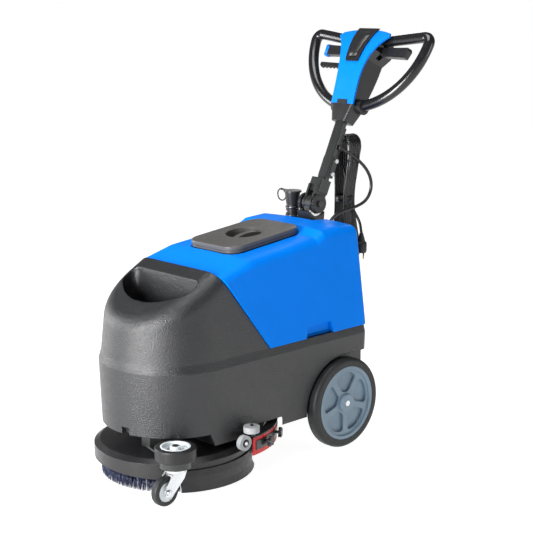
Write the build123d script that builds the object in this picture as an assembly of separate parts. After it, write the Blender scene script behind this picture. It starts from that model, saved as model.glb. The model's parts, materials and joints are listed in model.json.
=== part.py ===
"""Walk-behind floor scrubber: disc brush, raised squeegee, two tanks and a tilting handle.

Millimetres, +Z up, floor at Z = 0, machine travels towards -Y, operator stands at +Y.
The origin is on the floor at the middle of the machine's plan.
"""
from build123d import *
import os
from math import cos, radians, sin, sqrt, tan

# ---- driving dimensions -------------------------------------------------------------------
WHEEL_R = 127.0  # 10 inch transport wheel
AXLE_Y = 168.0
BRUSH_Y = AXLE_Y - 452.0  # centre of the brush
DECK_R = 208.0
BODY_R = 194.0  # half width of the solution tank at its widest line
BODY_ARC_Y = BRUSH_Y + 4.0  # centre of the round front
REAR_Y = AXLE_Y + 105.0
FLOOR_GAP = 112.0  # underside of the solution tank
CREASE_Z = 312.0
SPLIT_Z = 333.0  # where the two tanks part
HANDLE_LEAN = 25.0  # degrees back from upright
HINGE_Y = AXLE_Y + 70.5
HINGE_Z = 657.0
LOOP_R = 215.0  # handle loop, centre line

# ---- walls, gaps and fits -----------------------------------------------------------------
WALL = 5.0  # rotomoulded tank wall
RUN = 0.05  # radial clearance of a turning fit
SEAM = 1.5  # open line between the two tanks
GAP = 3.0  # ordinary clearance round a passing piece

# ---- wheels -------------------------------------------------------------------------------
WHEEL_OUT_X = 211.0
TYRE_W = 38.0
RIM_R = 104.0
AXLE_R = 8.0
ARCH_R = WHEEL_R + 8.0
ARCH_X = WHEEL_OUT_X - TYRE_W - 9.0  # side of the narrow rear part between the wheels

# ---- brush deck ---------------------------------------------------------------------------
DECK_TOP_Z = 100.0
DECK_LOW_Z = 50.0
DECK_WALL = 4.0
BRUSH_R = 190.0
BRISTLE_LOW_Z = 3.0
DISC_Z = 38.0  # underside of the brush disc
DISC_T = 12.0
MOTOR_R = 62.0
SHAFT_R = 12.0
SKIRT_LOW_Z = 5.0

# ---- chassis ------------------------------------------------------------------------------
PLATE_Z = 136.0
PLATE_T = 6.0
PLATE_HALF_W = 85.0

# ---- front caster and bumper --------------------------------------------------------------
CASTER_X = 188.0
CASTER_Y = BRUSH_Y - 146.5
CASTER_TRAIL = 35.5
CASTER_R = 37.5
CASTER_W = 22.0
BUMPER_R = 52.0
BUMPER_HUB_R = 38.0
BUMPER_Z = 112.0
BUMPER_T = 34.0
ARM_T = 6.0

# ---- squeegee -----------------------------------------------------------------------------
SQ_Y = BRUSH_Y + 70.0  # centre of the curved squeegee
SQ_R = 226.0  # outside of the rear blade
SQ_LOW_Z = 72.0  # blade edge while raised
SQ_TOP_Z = 124.0
SQ_DROP = 66.0  # travel down to the floor
SQ_END = 3.0  # degrees behind the line through its centre where it starts
GUIDE_R = 21.0  # small side rollers
GUIDE_X = 219.0
FLAT_Y = SQ_Y + 12.0  # roller that turns about the vertical
EDGE_Y = SQ_Y - 17.0  # roller that turns about X
EDGE_Z = SQ_LOW_Z + 41.0

# ---- handle -------------------------------------------------------------------------------
TUBE_BACK = 13.65  # column axis behind the hinge axis
TUBE_W = 34.0
TUBE_D = 20.0
COLLAR_S = 250.0  # distances along the column from the hinge
LOOP_S = 517.0
LOOP_BACK = 27.0
GRIP_DIP = 20.0  # grips' inner ends below the loop's level
GRIP_RISE = 9.0  # grips' outer ends above it
GRIP_R = 15.5
HINGE_DISC_R = 27.0
PIN_R = 6.0

# ---- cords --------------------------------------------------------------------------------
LEAD_D = 9.5
MAINS_D = 8.0

os.makedirs("parts", exist_ok=True)
HANDLE = Plane(
    origin=(0, HINGE_Y, HINGE_Z),
    x_dir=(1, 0, 0),
    z_dir=(0, sin(radians(HANDLE_LEAN)), cos(radians(HANDLE_LEAN))),
)


# ---- helpers ------------------------------------------------------------------------------
def save(name, *shapes):
    solids = [solid for shape in shapes for solid in shape.solids()]
    export_step(solids[0] if len(solids) == 1 else Compound(children=solids), f"parts/{name}.step")


def block(x, y, z):
    """Box from three (low, high) pairs."""
    size = [high - low for low, high in (x, y, z)]
    middle = [(low + high) / 2 for low, high in (x, y, z)]
    return Pos(*middle) * Box(*size)


def rod(radius, start, direction, length):
    plane = Plane(origin=start, z_dir=direction)
    return plane * Cylinder(radius, length, align=(Align.CENTER, Align.CENTER, Align.MIN))


def ring(outer, inner, start, direction, length):
    return rod(outer, start, direction, length) - rod(inner, start, direction, length)


def side_prism(points, x_low, x_high):
    """Outline in the YZ plane, carried from x_low to x_high."""
    face = make_face(Polyline(*[(x_low, y, z) for y, z in points], close=True))
    return extrude(face, amount=x_high - x_low, dir=(1, 0, 0))


def plan_prism(sketch, z_low, z_high):
    return extrude(Plane.XY.offset(z_low) * sketch, amount=z_high - z_low)


def arc_band(centre_y, outer, inner, start, end):
    """Flat ring sector about (0, centre_y), angles in degrees from +X."""
    a, b, m = (radians(v) for v in (start, end, (start + end) / 2))

    def at(radius, angle):
        return (radius * cos(angle), centre_y + radius * sin(angle))

    edges = [
        ThreePointArc(at(outer, a), at(outer, m), at(outer, b)),
        Line(at(outer, b), at(inner, b)),
        ThreePointArc(at(inner, b), at(inner, m), at(inner, a)),
        Line(at(inner, a), at(outer, a)),
    ]
    return make_face(Curve() + edges)


def mirror_x(shape):
    return mirror(shape, about=Plane.YZ)


def both_sides(shape):
    return [shape, mirror_x(shape)]


# ---- the two tanks' shared form -----------------------------------------------------------
TIP_Y = AXLE_Y - 275.0  # lower front corner of the recovery tank
NOSE_SLANT = 0.7154  # forward travel of the parting face per mm of height
NOSE_TOP_Y = AXLE_Y - 437.0
NOSE_TOP_Z = 548.0
NOSE_SLOPE = 0.6  # fall of the nose's top per mm forward
SHOULDER_R = 52.0
RIM_Z = 145.0  # underside of the tank's front part, above the brush deck
RIM_Y = BRUSH_Y - 28.0


def d_plan(radius, y_rear, corner):
    outline = make_face(
        Curve()
        + [
            Line((-radius, y_rear), (-radius, BODY_ARC_Y)),
            ThreePointArc((-radius, BODY_ARC_Y), (0, BODY_ARC_Y - radius), (radius, BODY_ARC_Y)),
            Line((radius, BODY_ARC_Y), (radius, y_rear)),
            Line((radius, y_rear), (-radius, y_rear)),
        ]
    )
    return fillet(outline.vertices().group_by(Axis.Y)[-1], corner)


def d_loft(levels, y_rear, corner):
    """Stack of D-shaped plans, each level a (radius, z) pair."""
    plans = [Plane.XY.offset(z) * d_plan(radius, y_rear, corner) for radius, z in levels]
    return loft(plans, ruled=True)


def parting_wedge(grow):
    """Everything behind the slanted parting face and above the split, grown by grow."""
    low_y = TIP_Y - grow * sqrt(1 + NOSE_SLANT**2)
    low_z = SPLIT_Z - max(grow, 0)
    rise = 400.0
    return side_prism(
        [
            (low_y + NOSE_SLANT * (SPLIT_Z - low_z), low_z),
            (low_y - NOSE_SLANT * rise, SPLIT_Z + rise),
            (REAR_Y + rise, SPLIT_Z + rise),
            (REAR_Y + rise, low_z),
        ],
        -2 * BODY_R,
        2 * BODY_R,
    )


def nose_top_cut(drop):
    z = NOSE_TOP_Z - drop
    reach = 400.0
    return side_prism(
        [
            (NOSE_TOP_Y - reach, z - NOSE_SLOPE * reach),
            (NOSE_TOP_Y + reach, z + NOSE_SLOPE * reach),
            (NOSE_TOP_Y + reach, z + 2 * reach),
            (NOSE_TOP_Y - reach, z + 2 * reach),
        ],
        -2 * BODY_R,
        2 * BODY_R,
    )


def lower_form(inset, low_z):
    """Outer form of the solution tank, or its cavity when inset."""
    levels = [
        (BODY_R - 7 - inset, low_z),
        (BODY_R - inset, CREASE_Z),
        (BODY_R - 7 - inset, CREASE_Z + 22),
        (BODY_R - 33 - inset, 580),
    ]
    form = d_loft(levels, REAR_Y - inset, max(26 - inset, 8))
    form -= nose_top_cut(inset)
    return form - parting_wedge(inset)


TRAY_BACK_Y = NOSE_TOP_Y - 27
TRAY_HALF_W = 132.0
TRAY_LENGTH = 95.0
TRAY_CORNER_R = 20.0
TRAY_FLOOR_Z = 440.0
BAY = 74.0  # half width of the vacuum motor's bay
BAY_Y = (AXLE_Y - 105, AXLE_Y + 32)
POST_HALF_W = 25.0
POST_Y = (HINGE_Y - 26, REAR_Y - 14)


def tray_plan(grow):
    half, front, waist = TRAY_HALF_W + grow, TRAY_LENGTH + grow, 42.0
    outline = make_face(
        Curve()
        + [
            Line((-half, grow), (half, grow)),
            Line((half, grow), (half, -waist)),
            ThreePointArc((half, -waist), (0, -front), (-half, -waist)),
            Line((-half, -waist), (-half, grow)),
        ]
    )
    return Pos(0, TRAY_BACK_Y) * fillet(outline.vertices(), TRAY_CORNER_R + grow)


def round_shoulder(form, radius):
    """Rounds the front and side edges of the slanted nose top."""
    nose_top = form.faces().filter_by(
        lambda f: abs(f.normal_at().dot(Vector(0, -sin(0.5404), cos(0.5404)))) > 0.999
        and f.center().Z > 400
    )[0]
    return fillet(nose_top.edges().sort_by(Axis.Y)[:-1], radius)


def solution_tank():
    body = round_shoulder(lower_form(0, FLOOR_GAP), SHOULDER_R)
    # Cavity for the clean water, kept off every recess below and behind.
    cavity = round_shoulder(lower_form(WALL, 0), SHOULDER_R - WALL)
    cavity &= block((-300, 300), (-600, 400), (RIM_Z + 25, 700))
    cavity -= plan_prism(tray_plan(WALL), TRAY_FLOOR_Z - WALL, 700)
    cavity -= rod(MOTOR_R + GAP + WALL, (0, BRUSH_Y, 0), (0, 0, 1), 290 + WALL)
    cavity -= block(
        (-BAY - WALL, BAY + WALL), (BAY_Y[0] - WALL, REAR_Y), (0, SPLIT_Z)
    )
    for side in both_sides(
        rod(ARCH_R + WALL, (ARCH_X - WALL, AXLE_Y, WHEEL_R), (1, 0, 0), 100)
        + block((ARCH_X - WALL, 300), (AXLE_Y, 500), (0, WHEEL_R + ARCH_R + WALL))
    ):
        cavity -= side
    body -= cavity
    # Storage tray in the nose, its front half a step higher.
    tray = plan_prism(tray_plan(0), TRAY_FLOOR_Z, 700)
    step = block((-300, 300), (-600, TRAY_BACK_Y - 46), (TRAY_FLOOR_Z, TRAY_FLOOR_Z + 16))
    body -= tray - step
    # Motor well, vacuum bay, chassis channel, squeegee pocket, wheel arches, post channel.
    body -= rod(MOTOR_R + GAP, (0, BRUSH_Y, 0), (0, 0, 1), 290)
    body -= block((-BAY, BAY), BAY_Y, (180, SPLIT_Z))
    body -= block(
        (-PLATE_HALF_W - GAP, PLATE_HALF_W + GAP),
        (BRUSH_Y - 150, REAR_Y),
        (0, PLATE_Z + PLATE_T),
    )
    pocket = arc_band(SQ_Y, SQ_R + 16, SQ_R - 34, -12, 192)
    body -= plan_prism(pocket, 0, SQ_TOP_Z + 12)
    for side in both_sides(
        block((GUIDE_X - GUIDE_R - 10, 300), (EDGE_Y - 24, FLAT_Y + GUIDE_R + 6), (0, 166))
    ):
        body -= side
    for side in both_sides(
        rod(ARCH_R, (ARCH_X, AXLE_Y, WHEEL_R), (1, 0, 0), 100)
        + block((ARCH_X, 300), (AXLE_Y, 500), (0, WHEEL_R + ARCH_R))
    ):
        body -= side
    body -= block(
        (-POST_HALF_W - GAP, POST_HALF_W + GAP), (POST_Y[0] - GAP, 500), (0, SPLIT_Z + 1)
    )
    body -= rod(BUMPER_R + 2, (CASTER_X, CASTER_Y, 0), (0, 0, 1), BUMPER_Z + BUMPER_T + 8)
    channel_top = max(WHEEL_R + 16, PLATE_Z + GAP)
    body -= block((-400, 400), (AXLE_Y - 16, AXLE_Y + 16), (0, channel_top))
    # Raised front rim with a slanted step at its rear end and a small notch at the front.
    body -= side_prism(
        [(-600, 0), (RIM_Y + 14, 0), (RIM_Y + 14, FLOOR_GAP), (RIM_Y, RIM_Z), (-600, RIM_Z)],
        -300,
        300,
    )
    body -= block((20, 44), (-600, BODY_ARC_Y - 172), (0, RIM_Z + 18))
    return body


# ---- recovery tank ------------------------------------------------------------------------
SIDE_DRAFT = 0.0928  # inward lean of the sides per mm of height
REAR_DRAFT = 0.06
BLUE_HALF_W = 190.0
LID_TILT = 6.3
LID_Y = AXLE_Y - 189.0
LID_W = 188.0
LID_L = 262.0
LID_T = 19.0
LID_R = 40.0  # corners of the lid, seen from above
LID_SUNK = 6.0  # depth of the shallow recess that the lid sits in
GASKET_T = 5.0
HAND_R = 52.0  # round hand recess in the lid
DECK_TOP_AT_LID = 587.5  # tank top under the middle of the lid
NOTCH_X = 52.0
NOTCH_Y = AXLE_Y + 23.0
NOTCH_FLOOR = 410.0


def blue_section(y, top_z, inset):
    """Cross-section of the recovery tank in the XZ plane at y."""
    low = SPLIT_Z + inset

    def half(z):
        return BLUE_HALF_W - inset - SIDE_DRAFT * (z - SPLIT_Z)

    shoulder = top_z - inset - 6
    outline = make_face(
        Plane(origin=(0, y, 0), x_dir=(1, 0, 0), z_dir=(0, -1, 0))
        * (
            Curve()
            + [
                Line((-half(low), low), (half(low), low)),
                Line((half(low), low), (half(shoulder), shoulder)),
                ThreePointArc(
                    (half(shoulder), shoulder), (0, top_z - inset), (-half(shoulder), shoulder)
                ),
                Line((-half(shoulder), shoulder), (-half(low), low)),
            ]
        )
    )
    return fillet(outline.vertices().group_by(Axis.Z)[-1], max(26 - inset, 6))


TOP_LINE = [(-437, 541), (-322, 573), (-77, 600), (-47, 616), (19, 620), (105, 615)]


def blue_form(inset):
    sections = [blue_section(AXLE_Y + y, z, inset) for y, z in TOP_LINE]
    form = loft(sections, ruled=True)
    form &= parting_wedge(-SEAM - inset)
    rear = side_prism(
        [
            (REAR_Y - inset, SPLIT_Z - 20),
            (REAR_Y - inset, SPLIT_Z),
            (REAR_Y - inset - 400 * REAR_DRAFT, SPLIT_Z + 400),
            (REAR_Y + 300, SPLIT_Z + 400),
            (REAR_Y + 300, SPLIT_Z - 20),
        ],
        -300,
        300,
    )
    return form - rear


def notch(grow):
    """Open corner behind the tank for the handle post and the drain hose."""
    shelf = block((-300, NOTCH_X + grow), (NOTCH_Y - grow, 500), (NOTCH_FLOOR - grow, 800))
    channel = block(
        (-POST_HALF_W - GAP - grow, POST_HALF_W + GAP + grow),
        (POST_Y[0] - GAP - grow, 500),
        (0, 800),
    )
    return shelf + channel


def lid_plane(above):
    tilt = radians(LID_TILT)
    z_dir = Vector(0, -sin(tilt), cos(tilt))
    return Plane(
        origin=Vector(0, LID_Y, DECK_TOP_AT_LID) + z_dir * (above - LID_SUNK),
        x_dir=(1, 0, 0),
        z_dir=z_dir,
    )


def lid_slab(width, length, radius, low, high):
    return extrude(lid_plane(low) * RectangleRounded(width, length, radius), amount=high - low)


def recovery_tank():
    body = blue_form(0)
    rear_face = body.faces().sort_by(Axis.Y)[-1]
    body = fillet([e for e in rear_face.edges() if e.center().Z > SPLIT_Z + 20], 18)
    seat_w, seat_l, seat_r = LID_W + 2 * GAP, LID_L + 2 * GAP, LID_R + GAP
    body -= lid_slab(seat_w, seat_l, seat_r, 0, 40)
    neck = lid_slab(LID_W - 16, LID_L - 16, LID_R - 8, -14, 1.0)
    cavity = blue_form(WALL) - notch(WALL)
    cavity -= lid_slab(seat_w + 2 * WALL, seat_l + 2 * WALL, seat_r + WALL, -WALL, 40)
    body = body - cavity + neck - notch(0)
    body -= lid_slab(LID_W - 40, LID_L - 40, LID_R - 20, -30, 40)
    # Hand grips under both lower edges, each a pocket sunk into a thickened wall.
    for side in both_sides(grip_pocket(WALL, BLUE_HALF_W - 14 - WALL, BLUE_HALF_W - 7)):
        body += side
    for side in both_sides(grip_pocket(0, BLUE_HALF_W - 14, BLUE_HALF_W + 20)):
        body -= side
    return body


def grip_pocket(grow, x_low, x_high):
    """Trapezium outline of a hand grip, open at the tank's lower edge."""
    foot_z = SPLIT_Z + SEAM + WALL if grow else SPLIT_Z - 2
    return side_prism(
        [
            (AXLE_Y - 140 - grow, foot_z),
            (AXLE_Y - 132 - grow, SPLIT_Z + 32 + grow),
            (AXLE_Y - 41 + grow, SPLIT_Z + 32 + grow),
            (AXLE_Y - 33 + grow, foot_z),
        ],
        x_low,
        x_high,
    )


def tank_lid():
    top = GASKET_T + LID_T
    groove = GASKET_T + LID_T / 2 - 3
    plate = lid_slab(LID_W, LID_L, LID_R, GASKET_T, top)
    plate = fillet(plate.faces().sort_by(Axis.Z)[-1].edges(), 3)
    # Shadow line round the edge between the lid's top and its rim.
    plate -= lid_slab(LID_W + 9, LID_L + 9, LID_R, groove, groove + 2) - lid_slab(
        LID_W - 5, LID_L - 5, LID_R - 2.5, groove, groove + 2
    )
    plug = lid_slab(LID_W - 44, LID_L - 44, LID_R - 22, -16, GASKET_T)
    # Round hand recess with an arched grip bar left along it.
    hollow = lid_plane(3) * Cylinder(HAND_R, 60, align=(Align.CENTER, Align.CENTER, Align.MIN))
    arch_r = 150.0
    bar = lid_plane(top - 2 - arch_r) * Rot(0, 90, 0) * Cylinder(arch_r, 17)
    bar &= lid_slab(30, 2 * HAND_R + 20, 2, 3, top)
    return plate + plug - (hollow - bar)


def lid_gasket():
    seal = lid_slab(LID_W - 10, LID_L - 10, LID_R - 5, 1.0, GASKET_T)
    return seal - lid_slab(LID_W - 43.9, LID_L - 43.9, LID_R - 22, -5, 20)


VAC_TOP_Z = 318.0


def vacuum_motor():
    y = (BAY_Y[0] + BAY_Y[1]) / 2
    can = rod(58, (0, y, 182), (0, 0, 1), 70) + rod(66, (0, y, 252), (0, 0, 1), 40)
    return can + rod(20, (0, y, 292), (0, 0, 1), VAC_TOP_Z - 292)


def suction_standpipe():
    """Pipe inside the recovery tank that the fan draws through, with its float cage on top."""
    y = (BAY_Y[0] + BAY_Y[1]) / 2
    base = SPLIT_Z + SEAM + WALL
    pipe = ring(20, 17, (0, y, base), (0, 0, 1), 180)
    cage = ring(26, 23, (0, y, base + 177), (0, 0, 1), 40)
    cage += ring(26, 17, (0, y, base + 177), (0, 0, 1), 3)
    cage += rod(26, (0, y, base + 217), (0, 0, 1), 3)
    return pipe + cage


HOSE_X = -64.0
HOSE_Y = AXLE_Y + 56.0
HOSE_TOP_Z = 683.0


def drain_hose():
    """Ribbed hose clipped upright in the corner behind the tank."""
    start_z, pitch = NOTCH_FLOOR, 12.0
    hose = rod(16, (HOSE_X, HOSE_Y, start_z), (0, 0, 1), HOSE_TOP_Z - start_z)
    for k in range(int((HOSE_TOP_Z - 40 - start_z) / pitch)):
        hose += rod(19, (HOSE_X, HOSE_Y, start_z + 4 + k * pitch), (0, 0, 1), 5)
    cuff = Pos(HOSE_X, HOSE_Y, HOSE_TOP_Z - 18) * Cone(18, 22.5, 36)
    hose = hose + cuff
    return hose - rod(13, (HOSE_X, HOSE_Y, start_z + 6), (0, 0, 1), 400)


def drain_cap():
    lid = rod(26, (HOSE_X, HOSE_Y, HOSE_TOP_Z), (0, 0, 1), 5)
    lid += rod(12.9, (HOSE_X, HOSE_Y, HOSE_TOP_Z - 14), (0, 0, 1), 15)
    loop = Pos(HOSE_X - 44, HOSE_Y, HOSE_TOP_Z - 12) * Rot(90, 0, 0) * Torus(17, 2)
    tongue_x, tongue_y = (HOSE_X - 46, HOSE_X - 24), (HOSE_Y - 4, HOSE_Y + 4)
    return lid + loop + block(tongue_x, tongue_y, (HOSE_TOP_Z + 1, HOSE_TOP_Z + 5))


# ---- chassis ------------------------------------------------------------------------------
ROD_X = 60.0
ROD_R = 4.0
ROD_Y = SQ_Y + sqrt((SQ_R - 11) ** 2 - ROD_X**2)


def chassis():
    plate = block(
        (-PLATE_HALF_W, PLATE_HALF_W), (BRUSH_Y - 140, REAR_Y - 12), (PLATE_Z, PLATE_Z + PLATE_T)
    )
    plate -= rod(SHAFT_R + 4, (0, BRUSH_Y, 0), (0, 0, 1), 300)
    ears = block((-150, 150), (AXLE_Y - 13, AXLE_Y + 13), (PLATE_Z - 4, PLATE_Z))
    for x in (-150, 142):
        ears += block((x, x + 8), (AXLE_Y - 13, AXLE_Y + 13), (WHEEL_R - 14, PLATE_Z))
    frame = plate + ears
    frame -= rod(AXLE_R, (-300, AXLE_Y, WHEEL_R), (1, 0, 0), 600)
    for x in (-ROD_X, ROD_X):
        frame -= rod(ROD_R, (x, ROD_Y, 0), (0, 0, 1), 300)
    return frame - rod(24, (0, SQ_Y + SQ_R - 11, 0), (0, 0, 1), 300)


def axle():
    bar = rod(AXLE_R, (-WHEEL_OUT_X - 3, AXLE_Y, WHEEL_R), (1, 0, 0), 2 * WHEEL_OUT_X + 6)
    for x in (-WHEEL_OUT_X + TYRE_W + 1, WHEEL_OUT_X - TYRE_W - 5):
        bar += rod(AXLE_R + 5, (x, AXLE_Y, WHEEL_R), (1, 0, 0), 4)
    return bar


# ---- wheels -------------------------------------------------------------------------------
def wheel_tyre():
    """Tyre of the +X wheel with rounded shoulders."""
    centre = (WHEEL_OUT_X - TYRE_W / 2, AXLE_Y, WHEEL_R)
    band = rod(WHEEL_R, (WHEEL_OUT_X - TYRE_W, AXLE_Y, WHEEL_R), (1, 0, 0), TYRE_W)
    rims = [e for e in band.edges() if e.geom_type == GeomType.CIRCLE]
    band = fillet(rims, 11)
    return band - rod(RIM_R, (centre[0] - TYRE_W, AXLE_Y, WHEEL_R), (1, 0, 0), 2 * TYRE_W)


def wheel_hub():
    """Hub of the +X wheel: rim, web with five petal pockets, and boss."""
    x_out = WHEEL_OUT_X
    rim = ring(RIM_R, RIM_R - 10, (x_out - TYRE_W + 4, AXLE_Y, WHEEL_R), (1, 0, 0), TYRE_W - 5)
    web = rod(RIM_R - 10, (x_out - 24, AXLE_Y, WHEEL_R), (1, 0, 0), 18)
    boss = rod(25, (x_out - TYRE_W + 5, AXLE_Y, WHEEL_R), (1, 0, 0), TYRE_W - 3)
    face = Plane(origin=(x_out - 14, AXLE_Y, WHEEL_R), x_dir=(0, 1, 0), z_dir=(1, 0, 0))
    pocket = make_face(
        Curve()
        + [
            ThreePointArc((34, -14), (31, 0), (34, 14)),
            Line((34, 14), (70, 40)),
            ThreePointArc((70, 40), (86, 0), (70, -40)),
            Line((70, -40), (34, -14)),
        ]
    )
    pocket = fillet(pocket.vertices(), 9)
    hub = rim + web + boss
    for k in range(5):
        hub -= extrude(face * Rot(0, 0, 18 + 72 * k) * pocket, amount=20)
    return hub - rod(AXLE_R + RUN, (0, AXLE_Y, WHEEL_R), (1, 0, 0), 400)


# ---- brush deck ---------------------------------------------------------------------------
def revolved(profile, x, y):
    """Turn an (r, z) outline about the vertical line through (x, y)."""
    face = make_face(Polyline(*[(r, 0, z) for r, z in profile], close=True))
    return Pos(x, y, 0) * revolve(face, Axis.Z)


def brush_cover():
    r, t = DECK_R, DECK_WALL
    cover = revolved(
        [
            (SHAFT_R + 6, DECK_TOP_Z + 12),
            (r - 60, DECK_TOP_Z + 2),
            (r - 16, DECK_TOP_Z - 6),
            (r, DECK_TOP_Z - 16),
            (r, DECK_LOW_Z),
            (r - t, DECK_LOW_Z),
            (r - t, DECK_TOP_Z - 18),
            (r - 17, DECK_TOP_Z - 6 - t),
            (r - 60, DECK_TOP_Z + 2 - t),
            (SHAFT_R + 6, DECK_TOP_Z + 12 - t),
        ],
        0,
        BRUSH_Y,
    )
    feet = ring(70, 60, (0, BRUSH_Y, DECK_TOP_Z + 4), (0, 0, 1), PLATE_Z - DECK_TOP_Z - 4)
    return cover + feet


def brush_motor():
    can = rod(MOTOR_R - 8, (0, BRUSH_Y, PLATE_Z + PLATE_T + 46), (0, 0, 1), 90)
    gear = rod(MOTOR_R, (0, BRUSH_Y, PLATE_Z + PLATE_T), (0, 0, 1), 46)
    body = gear + can
    return body - rod(SHAFT_R + RUN, (0, BRUSH_Y, 0), (0, 0, 1), PLATE_Z + PLATE_T + 40)


def brush_shaft():
    foot = DISC_Z + DISC_T
    return rod(SHAFT_R, (0, BRUSH_Y, foot), (0, 0, 1), PLATE_Z + PLATE_T + 36 - foot)


def brush_disc():
    plate = rod(BRUSH_R, (0, BRUSH_Y, DISC_Z), (0, 0, 1), DISC_T)
    return plate - rod(40, (0, BRUSH_Y, DISC_Z), (0, 0, 1), DISC_T - 5)


def brush_bristles():
    """Bristle ring, a little wider at its tips."""
    return revolved(
        [(80, DISC_Z), (BRUSH_R - 4, DISC_Z), (BRUSH_R + 2, BRISTLE_LOW_Z), (74, BRISTLE_LOW_Z)],
        0,
        BRUSH_Y,
    )


def skirt_right():
    """Rubber splash skirt of the +X side; its tail flares outwards behind the deck."""

    def band(z, outer, shift, start, end):
        sector = arc_band(BRUSH_Y + shift, outer, outer - 4, start, end)
        return Plane.XY.offset(z) * sector

    return loft(
        [
            band(DECK_LOW_Z + 18, DECK_R + 4.3, 0, -34, 40),
            band(DECK_LOW_Z, DECK_R + 4.3, 0, -34, 41),
            band(DECK_LOW_Z - 24, DECK_R, 4, -34, 43),
            band(SKIRT_LOW_Z, DECK_R - 2, 14, -37, 48),
        ],
        ruled=True,
    )


# ---- front caster and bumper roller -------------------------------------------------------
def caster_arm():
    boss_z = BUMPER_Z - 18
    arm = rod(41, (CASTER_X, CASTER_Y, boss_z), (0, 0, 1), 18)
    arm += rod(8, (CASTER_X, CASTER_Y, BUMPER_Z), (0, 0, 1), BUMPER_T + 2)
    x0, y0 = CASTER_X - 30, CASTER_Y + 12
    outline = [(x0, y0 - 26), (x0 + 20, y0 + 22), (60, BRUSH_Y - 90), (60, BRUSH_Y - 136)]
    bar = Plane.XY.offset(FLOOR_GAP - ARM_T) * make_face(Polyline(*outline, close=True))
    arm += extrude(bar, amount=ARM_T)
    arm += block((40, 74), (BRUSH_Y - 136, BRUSH_Y - 100), (FLOOR_GAP - ARM_T, PLATE_Z))
    return arm - rod(6 + RUN, (CASTER_X, CASTER_Y, boss_z - 1), (0, 0, 1), 31)


def bumper_hub():
    hub = ring(BUMPER_HUB_R, 8, (CASTER_X, CASTER_Y, BUMPER_Z), (0, 0, 1), BUMPER_T)
    dish = ring(BUMPER_HUB_R - 5, 14, (CASTER_X, CASTER_Y, BUMPER_Z + BUMPER_T - 10), (0, 0, 1), 20)
    return hub - dish


def bumper_roller():
    band = ring(
        BUMPER_R, BUMPER_HUB_R + RUN, (CASTER_X, CASTER_Y, BUMPER_Z + 0.5), (0, 0, 1), BUMPER_T - 1
    )
    rims = band.edges().filter_by(GeomType.CIRCLE).sort_by(SortBy.RADIUS)[-2:]
    return fillet(rims, 4)


def caster_wheel_centre():
    return (CASTER_X, CASTER_Y - CASTER_TRAIL, CASTER_R)


def caster_fork():
    head_z = BUMPER_Z - 18
    head = rod(25, (CASTER_X, CASTER_Y, head_z - 13), (0, 0, 1), 12.5)
    stem = rod(6, (CASTER_X, CASTER_Y, head_z - 1), (0, 0, 1), 29)
    half = CASTER_W / 2 + 3
    y, z = CASTER_Y, head_z - 13
    leg_outline = [
        (y + 22, z),
        (y + 14, z - 18),
        (y - CASTER_TRAIL + 11, CASTER_R - 12),
        (y - CASTER_TRAIL - 11, CASTER_R - 10),
        (y - CASTER_TRAIL - 8, CASTER_R + 16),
        (y - 22, z),
    ]
    legs = side_prism(leg_outline, CASTER_X - half - 3, CASTER_X - half)
    legs += side_prism(leg_outline, CASTER_X + half, CASTER_X + half + 3)
    bridge = block((CASTER_X - half - 3, CASTER_X + half + 3), (y - 21, y + 21), (z - 3, z + 1))
    fork = head + stem + legs + bridge
    bore = rod(4, (CASTER_X - 60, CASTER_Y - CASTER_TRAIL, CASTER_R), (1, 0, 0), 120)
    return fork - bore


def caster_axle():
    half = CASTER_W / 2 + 6
    y = CASTER_Y - CASTER_TRAIL
    pin = rod(4, (CASTER_X - half - 2, y, CASTER_R), (1, 0, 0), 2 * half + 4)
    for x in (CASTER_X - half - 5, CASTER_X + half):
        pin += rod(7, (x, y, CASTER_R), (1, 0, 0), 5)
    return pin


def caster_hub():
    x, y, z = caster_wheel_centre()
    hub = rod(26, (x - CASTER_W / 2 + 2, y, z), (1, 0, 0), CASTER_W - 4)
    hub += rod(9, (x - CASTER_W / 2 - 1.5, y, z), (1, 0, 0), CASTER_W + 3)
    return hub - rod(4 + RUN, (x - 40, y, z), (1, 0, 0), 80)


def caster_tyre():
    x, y, z = caster_wheel_centre()
    band = rod(CASTER_R, (x - CASTER_W / 2, y, z), (1, 0, 0), CASTER_W)
    band = fillet([e for e in band.edges() if e.geom_type == GeomType.CIRCLE], 6)
    return band - rod(26, (x - 40, y, z), (1, 0, 0), 80)


# ---- squeegee -----------------------------------------------------------------------------
SQ_FROM, SQ_TO = SQ_END, 180.0 - SQ_END


def sq_band(outer, inner, low, high, trim=0.0):
    return plan_prism(arc_band(SQ_Y, outer, inner, SQ_FROM + trim, SQ_TO - trim), low, high)


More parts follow.
